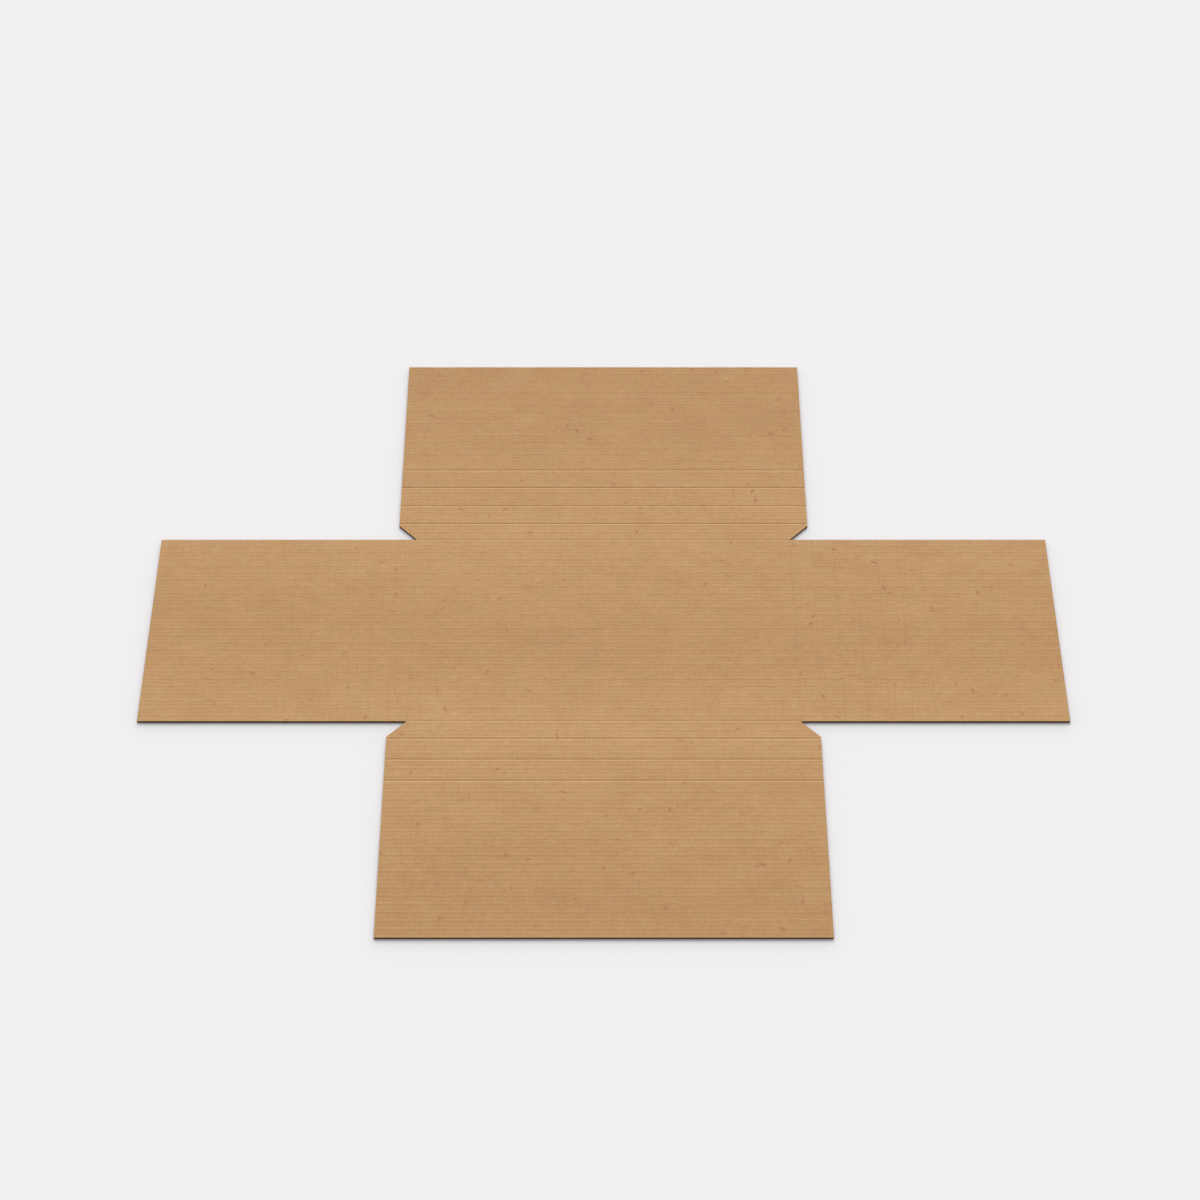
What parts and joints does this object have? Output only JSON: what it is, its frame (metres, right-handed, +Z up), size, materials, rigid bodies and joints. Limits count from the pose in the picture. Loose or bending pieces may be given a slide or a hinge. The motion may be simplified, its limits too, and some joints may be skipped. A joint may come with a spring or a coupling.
{
  "type": "flattened cardboard box",
  "caption": "Open flat blank of a corrugated cardboard wrap box: a middle panel with a folding wing on each side and pressed crease lines.",
  "frame": {"origin": "centre of the underside of the flat blank", "axes": "+X to the right along the two side wings and along the flutes, +Y to the back wing, +Z up out of the creased face"},
  "size_m": [0.647, 0.522, 0.0018],
  "materials": {
    "board": "matte natural kraft paper, unbleached, finely fibred"
  },
  "bodies": {
    "root": {"cardboard_blank": "board"}
  },
  "joints": []
}
